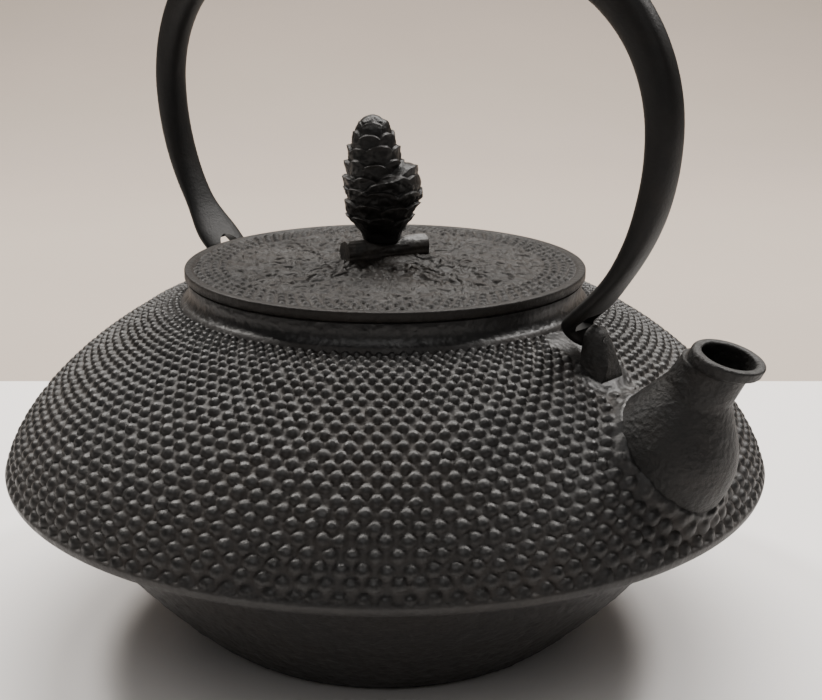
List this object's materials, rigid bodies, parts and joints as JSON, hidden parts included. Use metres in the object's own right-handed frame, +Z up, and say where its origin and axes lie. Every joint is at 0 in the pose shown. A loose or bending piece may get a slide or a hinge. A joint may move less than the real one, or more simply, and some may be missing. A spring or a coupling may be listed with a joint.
{
  "type": "teapot",
  "caption": "Low, wide cast iron kettle-teapot with a studded shoulder, short spout, swinging bail handle, flat lid with a pine-cone knob, and a steel infuser.",
  "frame": {"origin": "centre of the flat face the pot rests on", "axes": "+Z up, +X towards the spout, +Y across the pot; the handle's pivots lie on a line along X"},
  "size_m": [0.2317, 0.222, 0.2087],
  "materials": {
    "cast_shell": "matt lacquered casting skin",
    "forged_handle": "smooth lacquered",
    "cast_lid": "satin lacquered",
    "cast_knob": "matt lacquered",
    "rivet_steel": "blackened",
    "infuser_steel": "satin"
  },
  "bodies": {
    "pot": {"kettle_body": "cast_shell"},
    "bail": {"handle": "forged_handle"},
    "lid": {"lid_plate": "cast_lid", "pine_cone": "cast_knob", "twig": "cast_knob", "knob_rivet": "rivet_steel", "knob_washer": "rivet_steel"},
    "infuser": {"infuser_rim": "infuser_steel", "infuser_wall": "infuser_steel", "infuser_floor": "infuser_steel"}
  },
  "joints": [
    {"name": "handle_swing", "type": "hinge", "parent": "pot", "child": "bail", "pos_m": [0, 0, 0.09753], "axis": [1, 0, 0], "range_deg": [-40, 36]},
    {"name": "lid_lift", "type": "slide", "parent": "pot", "child": "lid", "axis": [0, 0, 1], "range_m": [0, 0.04]},
    {"name": "infuser_lift", "type": "slide", "parent": "pot", "child": "infuser", "axis": [0, 0, 1], "range_m": [0, 0.032]}
  ],
  "couplings": [
    {"joint": "infuser_lift", "follows": "lid_lift", "ratio": 0.8}
  ]
}
